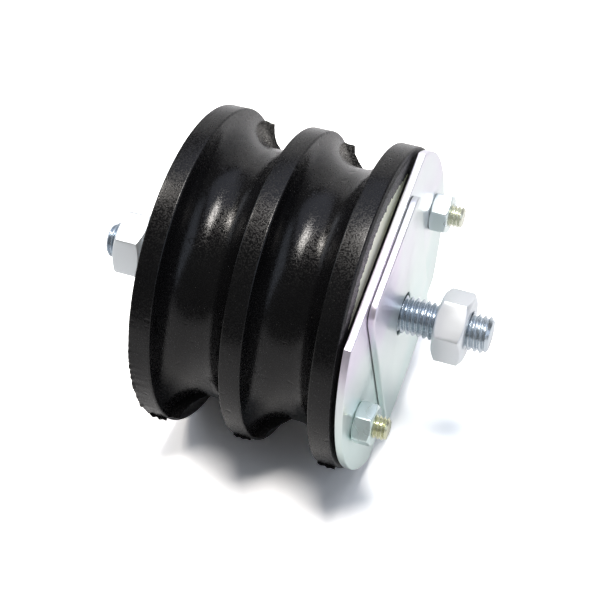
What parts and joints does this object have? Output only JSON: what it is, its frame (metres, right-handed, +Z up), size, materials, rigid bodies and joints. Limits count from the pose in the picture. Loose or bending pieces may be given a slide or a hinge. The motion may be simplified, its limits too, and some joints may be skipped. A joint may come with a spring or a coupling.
{
  "type": "engine mount",
  "caption": "Rubber engine mount with ringed grooves between flanges, a threaded stud and hex nut at each end and a zinc-plated clamp plate on the front.",
  "frame": {"origin": "on the mount's axis, half-way between the tips of the two big studs", "axes": "+X along the mount's axis from the rear stud to the front stud that has the clamp plate, +Z up, the part lying on the rims of its end flanges"},
  "size_m": [0.1072, 0.086, 0.086],
  "materials": {
    "black_rubber": "satin, moulded",
    "zinc_steel": "bright zinc plating",
    "satin_zinc": "satin zinc plating",
    "dark_steel": "rolled thread, thinly plated",
    "yellow_zinc": "yellow passivated zinc"
  },
  "bodies": {
    "root": {"rubber_body": "black_rubber", "front_end_plate": "zinc_steel", "rear_end_plate": "zinc_steel", "front_stud": "dark_steel", "rear_stud": "dark_steel", "front_nut": "satin_zinc", "rear_nut": "satin_zinc", "clamp_plate": "zinc_steel", "seat_plate": "zinc_steel", "upper_clamp_stud": "yellow_zinc", "lower_clamp_stud": "yellow_zinc", "upper_clamp_nut": "satin_zinc", "lower_clamp_nut": "satin_zinc"}
  },
  "joints": []
}
